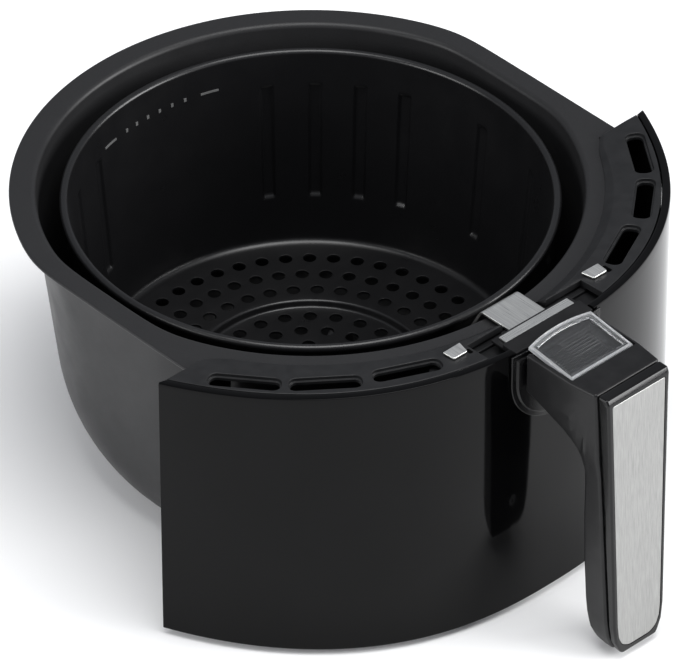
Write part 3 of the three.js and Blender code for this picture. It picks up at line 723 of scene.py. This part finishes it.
def trim_half(side):
    """One half of the trim, with the chamfer along its inner edge and three vent slots."""
    steps = 64
    start = radians(270 - degrees(asin(NOTCH_MIDDLE / TRIM_R)))
    stop = radians(180 + degrees(asin(-CUT_Y / (TRIM_R + END_OUT))))
    turns = [start + (stop - start) * i / steps for i in range(steps + 1)]
    outer = [(x, y) for x, y in panel_arc(PANEL_T + GAP, CUT_Y, 160) if x < -NOTCH_X - 0.6]
    outer.append((-NOTCH_X, panel_y(NOTCH_X, PANEL_T + GAP)))
    others = [(outer[0][0] + 7, CUT_Y)] + outer + [(-NOTCH_X, NOTCH_Y), (-NOTCH_MIDDLE, NOTCH_Y)]

    def loop(inward, drop, climb, out=0.0, z=None):
        """climb is the place of the inner edge on its chamfer, from 0 at the foot to 1 at the brow."""
        base = [(TRIM_R * cos(t), TRIM_R * sin(t)) for t in turns] + others
        moved = inset(base, inward)
        ring = []
        for i, (x, y) in enumerate(moved):
            if i > steps:
                ring.append((x, y, top_z(y) - drop))
                continue
            (foot, low), (brow, high) = trim_edge(turns[i])
            r = foot + (brow - foot) * climb + out
            y = r * sin(turns[i])
            height = low + (high - low) * climb if z is None else z(y)
            ring.append((r * cos(turns[i]), y, height))
        return [(side * -x, y, height) for x, y, height in ring]

    lip = lambda y: FLANGE_TOP + GAP
    rings = [
        loop(0.45, 0, 1, 0.3), loop(0.2, 0.08, 0.98, 0.05), loop(0.05, 0.22, 0.92, -0.03),
        loop(0, 0.45, 0.75), loop(0, 0.8, 0.4), loop(0, 1.2, 0.05),
        loop(0, 1.5, 0, 0, lambda y: FLANGE_TOP + GAP + 0.1), loop(0, 2.0, 0, 0.1, lip),
        loop(0, 2.5, 0, LIP_WIDTH, lip), loop(0, TRIM_T, 0, LIP_WIDTH, lambda y: top_z(y) - TRIM_T),
    ]
    slot_section = (
        (0.4, 0), (0.15, 0.08), (0.03, 0.2), (0, 0.4), (-0.1, 1.4), (-0.25, 1.55), (-0.6, 1.6),
        (-0.75, 1.75), (-0.75, TRIM_T),
    )
    holes = []
    for radius, start_angle, end_angle in SLOTS[side]:
        stack = []
        for grow, drop in slot_section:
            ring = bent_slot(side, radius, start_angle, end_angle, grow + 0.4)
            stack.append([(x, y, top_z(y) - drop) for x, y in ring])
        holes.append(stack)
    x0, y0, x1, y1 = CLIP_RECESS[side]
    recess = rounded([(x0, y0, 0.6), (x1, y0, 0.6), (x1, y1, 0.6), (x0, y1, 0.6)], 3)
    holes.append([[(x, y, top_z(y) - drop) for x, y in inset(recess, -grow)]
                  for grow, drop in ((0.3, 0), (0.1, 0.1), (0, 0.3), (0, TRIM_T))])
    return capped([rings] + holes)


def trim_web():
    """Bar across the notch behind the neck, its two cheeks and the ledges beside the neck."""
    bar = block((-35, -128.4, 125.4), (35, -124.8, 128.4), 0.4)
    cheeks = [block((x - 1.6, -128.4, 126), (x + 1.6, -125, 130.6), 0.4) for x in (-33.4, 33.4)]
    ledges = [block((x - 8, -138.3, 125.4), (x + 8, -126, 127), 0.3) for x in (-25.9, 25.9)]
    ledges += [block((x - 11, -135, 125.4), (x + 11, -121.7, 127.1), 0.3) for x in (-37.2, 37.2)]
    return joined(bar, *cheeks, *ledges)


make("trim", joined(trim_half(-1), trim_half(1), trim_web()), "drawer", "trim_plastic", ["trim"])


def clip(side):
    """Flat steel clip beside the neck."""
    corners = [(33.6, -123.9, 0.3), (42.8, -124.1, 0.3), (42.4, -130, 0.8), (35, -130, 0.8)]
    outline = rounded([(side * x, y, r) for x, y, r in corners])
    return plate(outline, slab_section(133.3, 134.2, 0.25), upright)


make("clip_left", clip(-1), "drawer", "clip_steel", ["clip_left"])
make("clip_right", clip(1), "drawer", "clip_steel", ["clip_right"])


# ---- basket --------------------------------------------------------------------------------
def wall_radius(z):
    """Radius of the basket's inner wall."""
    return BASKET_FOOT_R + (z - FLOOR_Z) * (BASKET_TOP_R - BASKET_FOOT_R) / (RIM_Z - 3.4 - FLOOR_Z)


def basket_angles():
    """Even steps, with fine ones across each pressed rib."""
    angles = {round(2.0 * i, 2) for i in range(180)}
    for rib in RIB_ANGLES:
        angles = {a for a in angles if abs((a - rib + 180) % 360 - 180) > 2.2}
        angles |= {round((rib + 0.2 * k) % 360, 2) for k in range(-10, 11)}
    return [radians(a) for a in sorted(angles)]


def rib_depth(angle, z):
    """How far the wall is pressed outwards."""
    off = min(abs((degrees(angle) - rib + 180) % 360 - 180) for rib in RIB_ANGLES)
    reach, crown = 1.9, 1.0125      # degrees from a rib's middle to its foot and to its flat crown
    if off > reach:
        return 0.0
    side = max(0.0, min(1.0, (reach - off) / (reach - crown)))
    ends = max(0.0, min(1.0, (z - 50.6) / 2.2, (107.4 - z) / 2.2))
    smooth = lambda t: t * t * (3 - 2 * t)
    return 1.25 * smooth(side) * smooth(ends)


def basket_body():
    """Turned bowl with a rolled rim, pressed ribs and a stepped floor with holes."""
    angles = basket_angles()
    t = BASKET_T
    neck = RIM_Z - 3.4

    def ring(r, z, pressed=False):
        out = [r + (rib_depth(a, z) if pressed else 0) for a in angles]
        return [(q * cos(a), q * sin(a), z) for q, a in zip(out, angles)]

    levels = [36, 43, 49, 50.2, 51, 51.8, 52.6, 53.4, 60, 70, 80, 90, 100, 105, 105.8, 106.6, 107.4]
    levels += [108.2, 113]
    heel = 3.2
    outside = [ring(BASKET_FOOT_R - heel + (heel + t) * sin(a), FLOOR_Z + heel - (heel + t) * cos(a))
               for a in [pi / 2 * k / 6 for k in range(7)]]
    outside += [ring(wall_radius(z) + t, z, True) for z in levels]
    outside.append(ring(wall_radius(neck) + t, neck))
    roll = [ring(r, z) for r, z in arc(RIM_R, RIM_Z - ROLL, ROLL, -60, 185, 16)]
    inside = [ring(wall_radius(neck - 0.6), neck - 0.6)]
    inside += [ring(wall_radius(z), z, True) for z in reversed(levels)]
    inside += [ring(BASKET_FOOT_R - heel + heel * sin(a), FLOOR_Z + heel - heel * cos(a))
               for a in [pi / 2 * (6 - k) / 6 for k in range(7)]]
    side = walls(outside + roll + inside)

    outer_edge = BASKET_FOOT_R - heel
    step = [(STEP_R + 0.9, FLOOR_Z), (STEP_R + 0.2, FLOOR_Z - 0.25), (STEP_R - 0.3, FLOOR_Z - 0.9),
            (STEP_R - 0.7, FLOOR_Z - STEP + 0.8), (STEP_R - 1.2, FLOOR_Z - STEP + 0.2),
            (STEP_R - 1.9, FLOOR_Z - STEP)]
    step_top = walls([ring(r, z) for r, z in step])
    step_low = walls([ring(r, z - t) for r, z in step])

    def perforated(high, bound, inner, rows):
        """Top face, bottom face and the hole walls of one level of the floor."""
        hole_section = ((0.35, 0), (0.1, 0.1), (0, 0.35), (0, t))
        loops = {0: [], 1: []}
        sides = []
        for radius, count, phase in rows:
            for i in range(count):
                a = radians(phase + 360 * i / count)
                centre = (radius * cos(a), radius * sin(a))
                stack = [[(x, y, high - drop) for x, y in circle(*centre, HOLE_R - 0.1 + grow, 20)]
                         for grow, drop in hole_section]
                sides.append(walls(stack))
                loops[0].append(stack[0])
                loops[1].append(stack[-1])
        faces = []
        for level, z in ((0, high), (1, high - t)):
            edges = [ring(bound, z)] + ([ring(inner, z)] if inner else [])
            faces.append(fill(edges + loops[level]))
        return joined(*faces, *sides)

    high = perforated(FLOOR_Z, outer_edge, STEP_R + 0.9, HOLE_ROWS)
    low = perforated(FLOOR_Z - STEP, STEP_R - 1.9, 0, INNER_HOLE_ROWS)
    return joined(side, step_top, step_low, high, low)


make("basket", basket_body(), "basket_unit", "basket_coating", ["basket"], 40)


def fill_mark():
    """Two short dashes with dots between them, embossed on the wall as a fill line."""
    z = 109.5
    dots = (79.8, 83.6, 87.4, 91.2, 95.0, 98.6)
    spans = [(102.8, 107.6), (70.6, 75.4)] + [(a - 0.35, a + 0.35) for a in dots]
    marks = []
    for start, end in spans:
        tall = 0.45 if end - start > 2 else 0.8
        def lift(a, b, h):
            angle = radians(a)
            r = wall_radius(z + b) + 0.25 - h
            return (r * cos(angle), r * sin(angle), z + b)
        outline = [(start + (end - start) * k / 6, -tall) for k in range(7)]
        outline += [(end - (end - start) * k / 6, tall) for k in range(7)]
        marks.append(plate(outline, ((0, 0.5), (0, 0.1)), lift))
    return joined(*marks)


make("fill_mark", fill_mark(), "basket_unit", "basket_coating", [], material=moulded(
    "fill_mark", (0.09, 0.09, 0.09), (0.12, 0.12, 0.12), 0.4, 0.5))


# ---- strap, rivets, strip and neck ---------------------------------------------------------
def strap_body():
    """Steel strip bent over the flange, with eased bends and edges."""
    outline = rounded([
        (-99.6, 98, 0.3), (-100.9, 98, 0.3), (-102, 110.6, 4), (-106.2, 118, 6), (-112, 129.1, 2.2),
        (-140, 129.1, 0.3), (-140, 130.3, 0.3), (-111.3, 130.3, 3.2), (-104.9, 118.6, 5), (-100.7, 111.2, 5),
    ], 6)
    return plate(outline, slab_section(-10, 10, 0.25), sideways)


make("strap", strap_body(), "basket_unit", "strap_steel", ["strap"])
strip = block((-18.8, -135.3, 132.1), (18.8, -130.9, 133), 0.2)
make("strip", strip, "basket_unit", "strip_steel", ["strip"])


def rivet(x):
    """Rivet through strap and wall, with a domed head on both sides."""
    profile = [(0, -103), (1.2, -102.9), (2, -102.55), (2.4, -102), (2.4, -101.85), (1.1, -101.8),
               (1.1, -97.6), (2.6, -97.5), (2.6, -97.3), (2.1, -96.9), (1.2, -96.65), (0, -96.6)]
    turns = [radians(12 * i) for i in range(30)]
    return walls([[(x + r * cos(a), y, 104 + r * sin(a)) for a in turns] for r, y in profile])


make("rivet_left", rivet(-5.5), "basket_unit", "rivet_metal", ["rivet_left"])
make("rivet_right", rivet(5.5), "basket_unit", "rivet_metal", ["rivet_right"])


def neck_body():
    """Plastic sleeve through the panel's notch: roof, ledge, two cheeks and a back."""
    roof = block((-21.3, -143.6, 130.8), (21.3, -135.4, 133.3), 0.5)
    ledge = block((-21.3, -136, 130.6), (21.3, -129, 131.8), 0.3)
    left = block((-16.8, -144.1, 107), (-14.3, -129, 131.2), 0.4)
    right = block((14.3, -144.1, 107), (16.8, -129, 131.2), 0.4)
    back = block((-15, -130.6, 112), (15, -129, 128.7), 0.3)
    return joined(roof, ledge, left, right, back)


make("neck", neck_body(), "basket_unit", "neck_plastic", ["neck"])


# ---- apron ---------------------------------------------------------------------------------
def apron_mesh():
    """Round-ended plate that follows the face of the panel."""
    outline = [(-24.4, 133)] + arc(0, 119, 24.4, 180, 360, 40) + [(24.4, 133)]
    lift = lambda x, z, h: (x, h, z)
    step = [(3.0, 2.2), (2.6, 2.1), (2.35, 1.85), (2.25, 1.5), (2.1, 1.35)]
    section = step + slab_section(0.4, 1.3, 0.4, 4)
    flat = as_mesh("apron", plate(outline, section, lift))
    flat = sliced(flat, 0, [2 * k - 24 for k in range(25)])
    for vertex in flat.vertices:
        x = vertex.co.x / MM
        out = vertex.co.y / MM
        vertex.co.y = (panel_y(x, 0) - out) * MM
    return cut(flat, [block((-12, -160, 112.5), (12, -130, 128.5), 0.3)])


make("apron", apron_mesh(), "basket_unit", "apron_plastic", ["apron"])


# ---- handle --------------------------------------------------------------------------------
def between(value, table):
    """Straight-line value from (place, value) rows in rising order."""
    for (a, u), (b, v) in zip(table, table[1:]):
        if value <= b:
            return u + (v - u) * max(0, value - a) / (b - a)
    return table[-1][1]


GRIP_WIDTHS = (                 # half width of the handle at each height
    (2.6, 9.5), (4.5, 10.8), (7, 12.2), (11.5, 13.8), (20, 14.8), (60, 15.9), (92, 16.6), (101, 17.5),
    (110, 18.9), (116, ARM_W), (140, ARM_W),
)
ARM_WIDTHS = ((-197, 17.0), (-186, 17.4), (-172, ARM_W), (-140, ARM_W))


def across(name, outline, edge, widths, breaks, steps=5):
    """Mesh that stretches a side outline across X, to a half width that varies over it."""
    full = 20.0
    section = slab_section(-full, full, edge, steps)
    mesh = as_mesh(name, plate(outline, section, sideways))
    for axis, places in breaks:
        mesh = sliced(mesh, axis, places)
    work = bmesh.new()
    work.from_mesh(mesh)
    bmesh.ops.triangulate(work, faces=work.faces[:])
    work.to_mesh(mesh)
    work.free()
    for vertex in mesh.vertices:
        x, y, z = vertex.co / MM
        vertex.co.x = (1 if x > 0 else -1) * (widths(y, z) - full + abs(x)) * MM
    return mesh


def handle_mesh():
    """Handle in one moulding: arm, bend and grip, with a well for the button and the cover."""
    side = rounded([
        (ARM_Y, ARM_TOP, 1.3), (ARM_Y, 115.2, 1.3), (-154, 113, 12), (-159.5, 110.8, 14), (-166, 108, 16),
        (-172, 104.4, 14), (-176.2, 99.4, 12), (-178.2, 93, 14), (-178.4, 84, 60), (-178, 70, 60),
        (-178.2, 46, 60), (-179, 26, 40), (-180.4, 13, 20), (-182.4, 7, 8), (-185.6, 3.6, 6),
        (-189.6, 2.7, 3), (-192.1, 4.2, 1.4), (-184.9, ARM_TOP, 1.3),
    ], 4)
    width = lambda y, z: min(between(z, GRIP_WIDTHS), between(y, ARM_WIDTHS))
    breaks = ((2, [z for z, _ in GRIP_WIDTHS[:-1]]), (1, (-186, -179, -172)))
    body = across("handle_body", side, 1.2, width, breaks)
    well = rounded([
        (-171.6, 113.8, 1), (-160.2, 113.8, 1), (-145, 117, 0.5), (-145, 140, 0.5), (-171.6, 140, 0.5),
    ])
    cutters = [
        plate(well, slab_section(-16.2, 16.2, 0.4), sideways),
        block((-17.6, -171.6, 130.8), (17.6, -140, 140), 0.3),
        block((-17.6, -171.6, 128.3), (17.6, -164.9, 131), 0.2),
        rod((-18.4, PIN_Y, PIN_Z), (18.4, PIN_Y, PIN_Z), 1.2, 0.1),
        rod((0, -170, 26), (0, -178.6, 26), 3.6),
        rod((0, -170, 86), (0, -178.9, 86), 3.6),
        rod((0, -170, 26), (0, -195, 26), 1.6),
        rod((0, -170, 86), (0, -195, 86), 1.6),
    ]
    return cut(body, cutters)


make("handle_body", handle_mesh(), "basket_unit", "handle_plastic", ["handle_body"])


def leaning(a, b, h):
    """A front outline point on the leaning face of the grip, h millimetres in front of it."""
    turn = radians(FRAME_LEAN)
    y, z = -h, b - 130
    return (a, FRAME_Y + y * cos(turn) + z * sin(turn), 130 - y * sin(turn) + z * cos(turn))


def inlay_outline(shrink):
    """Front outline of the steel inlay, narrow and round at its foot."""
    half = [(6, 5.6 + shrink, 6), (9.6, 7.8 + shrink, 4), (11.6 - shrink, 12, 5), (12.2 - shrink, 18, 12),
            (14.8 - shrink, 130.4 - shrink, 0.8)]
    other = [(-a, b, r) for a, b, r in reversed(half)]
    return rounded(half + other, 5)


def grip_frame_mesh():
    """Glossy front of the grip, with a recess for the inlay."""
    side = rounded([
        (-185.3, ARM_TOP, 1.1), (-192.5, 3.6, 1.1), (-194.2, 2.4, 1.2), (-195.9, 3.6, 1.2),
        (-191.4, 131.4, 3), (-190.2, ARM_TOP, 1.2),
    ], 5)
    widths = ((2.3, 8), (4, 10), (5.6, 11), (10, 12.9), (18, 13.9), (70, 15.2), (122, 16.6), (136, 17.2))
    breaks = ((2, [z for z, _ in widths[:-1]]),)
    blank = across("grip_frame", side, 1.0, lambda y, z: between(z, widths), breaks)
    recess = plate(inlay_outline(0), slab_section(-1.35, 3, 0.15), leaning)
    screws = [rod((0, -180, 26), (0, -194, 26), 1.6), rod((0, -180, 86), (0, -192, 86), 1.6)]
    return cut(blank, [recess] + screws)


make("grip_frame", grip_frame_mesh(), "basket_unit", "frame_gloss", ["grip_frame"])
inlay = plate(inlay_outline(0.25), slab_section(-1.05, -0.05, 0.25), leaning)
make("inlay", inlay, "basket_unit", "inlay_steel", ["inlay"])


# ---- cover, button and latch ---------------------------------------------------------------
def cover_body():
    """Clear flap with a raised frame round its window, and the barrel it turns on."""
    half, front, back, bow = 17.1, -170.6, -146.2, 2.4
    rear = [(-half * u, back + bow * (1 - u * u)) for u in [2 * i / 16 - 1 for i in range(17)]]
    outline = [(-half, front), (half, front)] + rear
    slope = atan(3 / 24.6)

    def lift(x, y, h):
        a = y - front
        return (x, front + a * cos(slope) - h * sin(slope), 133.3 + a * sin(slope) + h * cos(slope))

    section = [(3.4, -0.95), (3.1, -0.9), (2.8, -0.6), (2.7, -0.25), (2.4, -0.05), (2.1, 0), (0.6, 0),
               (0.2, -0.1), (0.05, -0.3), (0, -0.6), (0, -1.7), (0.1, -1.95), (0.35, -2.1), (1.9, -2.1),
               (2.3, -1.95), (2.5, -1.75), (2.9, -1.7)]
    barrel = rod((-15.8, PIN_Y, PIN_Z), (15.8, PIN_Y, PIN_Z), 1.9, 0.3)
    pin_hole = rod((-18, PIN_Y, PIN_Z), (18, PIN_Y, PIN_Z), 1.1)
    mesh = cut(as_mesh("cover", plate(outline, section, lift)), [pin_hole])
    return mesh, barrel


cover, barrel = cover_body()
make("cover", cover, "flap", "cover_clear", ["cover"])
make("cover_barrel", barrel, "flap", "cover_clear", [])


def button_body():
    """Button cap with raised bars across it, a rim, and the stem that works the latch."""
    cap = block((-13.2, -164.4, 125.6), (13.2, -149.4, 129.0), 0.7, 3)
    rows = [-163 + 1.5 * k for k in range(9)]
    bars = [block((-11.0, y, 128.9), (11.0, y + 0.7, 129.55), 0.2) for y in rows]
    stem = block((-2.6, -157.2, 123.4), (2.6, -154.2, 128.2), 0.3)
    hollow = block((-11.4, -163.6, 124), (11.4, -150.6, 127.6), 0.3)
    shell = cut(as_mesh("button", cap), [hollow])
    points = [tuple(v.co / MM) for v in shell.vertices]
    return joined((points, [tuple(f.vertices) for f in shell.polygons]), *bars, stem)


make("button", button_body(), "release_button", "button_plastic", ["button"])

for slot_part in frame["record"]["subparts"]:
    node = frame["nodes"][slot_part["node"]]
    if not node.hide_render:
        node.data.materials.clear()
        node.data.materials.append(MATERIALS[slot_part["material_slot"]])

# ---- floor, light and camera ---------------------------------------------------------------
def emitter(name, place, size, watts):
    """Rectangular soft light, in metres, aimed at the drawer."""
    target = (0, 0, 0.1)
    light = bpy.data.lights.new(name, "AREA")
    light.shape = "RECTANGLE"
    light.size, light.size_y = size
    light.energy = watts
    lamp = bpy.data.objects.new(name, light)
    lamp.location = place
    lamp.rotation_mode = "QUATERNION"
    lamp.rotation_quaternion = (Vector(target) - Vector(place)).to_track_quat("-Z", "Y")
    bpy.context.scene.collection.objects.link(lamp)


def studio():
    """Pale floor, even surroundings and three soft lights."""
    n = Nodes("floor", ior_level=0.2)
    n.colours(n.noise(400, 2), (0.9, 0.9, 0.9), (0.93, 0.93, 0.93))
    n.shader.inputs["Roughness"].default_value = 0.9
    mesh = bpy.data.meshes.new("floor")
    reach, level = 6, -0.0002
    corners = [(-reach, -reach), (reach, -reach), (reach, reach), (-reach, reach)]
    mesh.from_pydata([(x, y, level) for x, y in corners], [], [(0, 1, 2, 3)])
    mesh.materials.append(n.material)
    floor = bpy.data.objects.new("floor", mesh)
    bpy.context.scene.collection.objects.link(floor)
    world = bpy.data.worlds.new("studio")
    world.use_nodes = True
    world.node_tree.nodes["Background"].inputs["Color"].default_value = (0.9, 0.93, 1, 1)
    world.node_tree.nodes["Background"].inputs["Strength"].default_value = 0.37
    bpy.context.scene.world = world
    emitter("key", (-0.1, -0.3, 1.5), (1.0, 0.9), 19)
    emitter("left", (-1.6, 0.4, 0.7), (1.0, 0.8), 15)
    emitter("right", (1.3, -1.5, 0.8), (1.3, 1.1), 50)


def photograph_camera():
    """Camera at the object's left front, looking down on it through a long lens."""
    azimuth, elevation = radians(-42.757), radians(37.943)
    back = Vector((sin(azimuth) * cos(elevation), -cos(azimuth) * cos(elevation), sin(elevation)))
    right = Vector((cos(azimuth), sin(azimuth), 0))
    up = back.cross(right)
    data = bpy.data.cameras.new("camera")
    distance, shift_right, shift_up = 2995, 12.07, -60.98
    data.lens = 387.4
    data.sensor_width = 36
    data.clip_start, data.clip_end = 0.1, 30
    camera = bpy.data.objects.new("camera", data)
    aim = Vector((0, 0, FLANGE_TOP)) + right * shift_right + up * shift_up
    spot = (aim + back * distance) * MM
    camera.matrix_world = Matrix.Translation(spot) @ Matrix((right, up, back)).transposed().to_4x4()
    bpy.context.scene.collection.objects.link(camera)
    bpy.context.scene.camera = camera


studio()
photograph_camera()
bpy.context.scene.view_settings.view_transform = "Standard"
